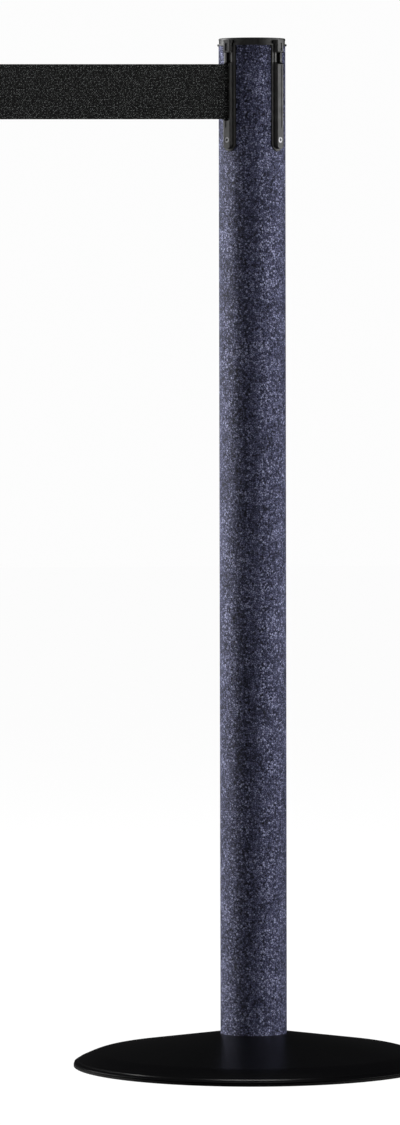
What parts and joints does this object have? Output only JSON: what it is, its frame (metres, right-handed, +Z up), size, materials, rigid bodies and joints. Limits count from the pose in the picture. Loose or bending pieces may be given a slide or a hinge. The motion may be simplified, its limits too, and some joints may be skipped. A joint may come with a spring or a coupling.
{
  "type": "retractable belt stanchion",
  "caption": "Free-standing queue post with a round weighted base, a retractable black belt in its head and receivers for other posts' belts.",
  "frame": {"origin": "centre of the base on the floor, on the post's axis", "axes": "+Z up along the post; the belt runs along -X at rest, and the receivers are at 45 degrees to X and Y"},
  "size_m": [0.4521, 0.3442, 0.978],
  "materials": {
    "tube_coat": "hammered powder coat, satin",
    "head_plastic": "satin moulded plastic",
    "cap_plastic": "satin moulded plastic",
    "cover_gloss": "deep gloss black",
    "ring_rubber": "matte",
    "cast_iron": "rough casting, painted",
    "steel": "zinc plated",
    "spring_steel": "blued",
    "drum_plastic": "natural acetal",
    "bronze": "sintered bronze",
    "brake_lining": "brake lining",
    "webbing": "black woven polyester webbing",
    "clip_plastic": "satin moulded plastic",
    "button_plastic": "smooth"
  },
  "bodies": {
    "post": {"floor_ring": "ring_rubber", "base_weight": "cast_iron", "base_cover": "cover_gloss", "base_washer": "steel", "base_bolt": "steel", "tube_plug": "steel", "locating_pins": "steel", "post_tube": "tube_coat", "head_housing": "head_plastic", "top_cap": "cap_plastic", "leg_screws": "steel", "mounting_ring": "steel", "spring_cup": "steel", "power_spring": "spring_steel", "cassette_floor_plate": "steel", "cassette_top_plate": "steel", "cassette_pillars": "steel", "cassette_screws": "steel", "guide_pins": "steel", "spindle": "steel", "spindle_nut": "steel", "thrust_washers": "bronze", "brake_ring": "steel", "belt_lead": "webbing"},
    "drum": {"drum": "drum_plastic", "lower_bush": "bronze", "upper_bush": "bronze", "belt_roll": "webbing", "brake_pins": "steel"},
    "brake_shoe_a": {"brake_shoe_a": "brake_lining"},
    "brake_shoe_b": {"brake_shoe_b": "brake_lining"},
    "belt": {"belt_strip": "webbing"},
    "belt_end": {"belt_loop": "webbing", "loop_pin": "steel", "clip_front_shell": "clip_plastic", "clip_rear_shell": "clip_plastic", "clip_screws": "steel", "hook_tongue": "clip_plastic", "button_spring": "spring_steel"},
    "button": {"release_button": "button_plastic"}
  },
  "joints": [
    {"name": "belt_swing", "type": "hinge", "parent": "post", "child": "belt", "pos_m": [-0.02574, -0.02574, 0.927], "axis": [0, 0, 1], "range_deg": [-30, 120], "deforming": ["belt_lead"]},
    {"name": "belt_pull", "type": "slide", "parent": "belt", "child": "belt_end", "axis": [-1, 0, 0], "range_m": [-0.219, 2.06], "stiffness_N_per_m": 1, "springref_m": -4, "deforming": ["belt_strip"]},
    {"name": "drum_spin", "type": "hinge", "parent": "post", "child": "drum", "pos_m": [0, 0, 0.927], "axis": [0, 0, 1], "range_deg": [-960, 8900], "deforming": ["power_spring"]},
    {"name": "brake_shoe_a_swing", "type": "hinge", "parent": "drum", "child": "brake_shoe_a", "pos_m": [0.01252, 0.00506, 0.9605], "axis": [0, 0, 1], "range_deg": [-5, 0]},
    {"name": "brake_shoe_b_swing", "type": "hinge", "parent": "drum", "child": "brake_shoe_b", "pos_m": [-0.01252, -0.00506, 0.9605], "axis": [0, 0, 1], "range_deg": [-5, 0]},
    {"name": "button_press", "type": "slide", "parent": "belt_end", "child": "button", "axis": [0, 1, 0], "range_m": [0, 0.0018], "stiffness_N_per_m": 500, "deforming": ["button_spring"]}
  ],
  "couplings": [
    {"joint": "drum_spin", "follows": "belt_pull", "rad_per_m": 75}
  ]
}
